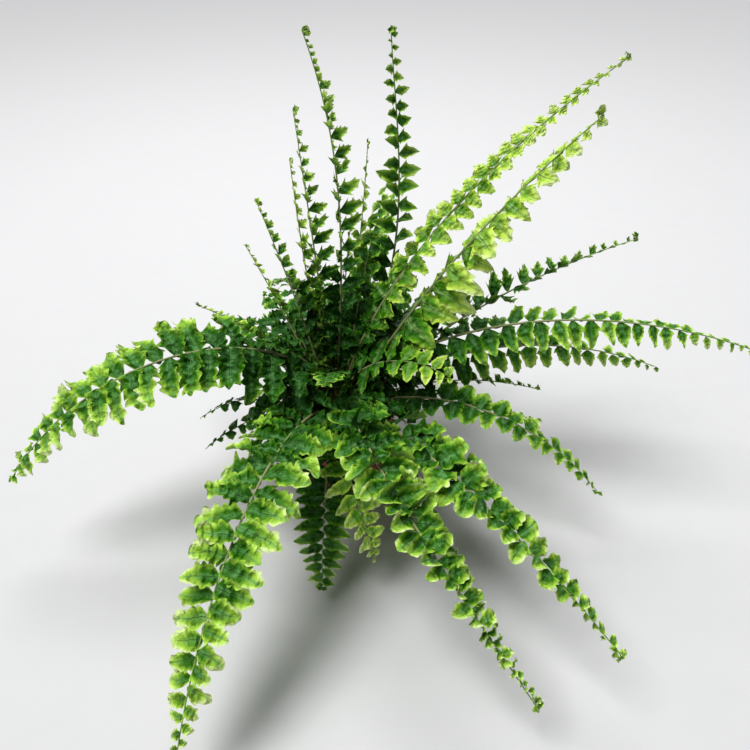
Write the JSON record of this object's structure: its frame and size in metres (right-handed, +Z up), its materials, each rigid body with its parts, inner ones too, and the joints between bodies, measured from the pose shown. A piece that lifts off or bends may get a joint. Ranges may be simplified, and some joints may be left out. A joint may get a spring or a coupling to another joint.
{
  "type": "potted fern",
  "caption": "Ruffled sword fern whose arching lobed fronds grow from a low rootstock in potting mix, in a small tapered nursery pot with a rolled rim and drainage holes.",
  "frame": {"origin": "centre of the pot's base, on the surface the pot stands on", "axes": "+Z up along the pot's axis, -Y towards the front of the plant, +X to its right as seen from the front"},
  "size_m": [0.5171, 0.4578, 0.3532],
  "materials": {
    "leaf_young": "satin",
    "leaf_bright": "satin",
    "leaf_mid": "satin",
    "leaf_dark": "satin",
    "pot_plastic": "satin",
    "potting_mix": "matte",
    "rootstock_fibre": "matte"
  },
  "bodies": {
    "root": {"pot": "pot_plastic", "soil": "potting_mix", "rootstock": "rootstock_fibre", "back_tall_left": "leaf_mid", "back_mid_left": "leaf_mid", "back_fine_left": "leaf_young", "back_thin_mid": "leaf_young", "back_tall_right": "leaf_mid", "back_short_left": "leaf_mid", "left_young_thin": "leaf_young", "back_curled_small": "leaf_young", "back_end_on": "leaf_mid", "right_high_arch": "leaf_bright", "right_bright_arch": "leaf_bright", "right_rising_dark": "leaf_dark", "right_long": "leaf_mid", "right_under_long": "leaf_mid", "right_drooping": "leaf_mid", "right_small_upper": "leaf_mid", "right_small_lower": "leaf_mid", "right_curly_small": "leaf_mid", "right_inner_dark": "leaf_dark", "left_long": "leaf_mid", "left_young_mid": "leaf_young", "left_small_upper": "leaf_mid", "left_small_lower": "leaf_mid", "left_inner_back": "leaf_dark", "left_inner_front": "leaf_dark", "front_left_long": "leaf_mid", "front_short_dark": "leaf_dark", "front_short_bright": "leaf_bright", "front_right_long": "leaf_mid", "front_right_far": "leaf_mid", "front_small_behind": "leaf_dark", "centre_right_bright": "leaf_bright", "centre_front_pale": "leaf_bright", "centre_back_toothed": "leaf_mid", "centre_front_low": "leaf_mid", "inner_front_right": "leaf_dark", "inner_left": "leaf_dark", "inner_back_left": "leaf_dark", "inner_back": "leaf_dark", "inner_back_right": "leaf_dark", "rear_right_low": "leaf_dark", "rear_mid_right": "leaf_dark", "rear_mid": "leaf_dark", "rear_mid_left": "leaf_dark", "rear_left_low": "leaf_dark"}
  },
  "joints": []
}
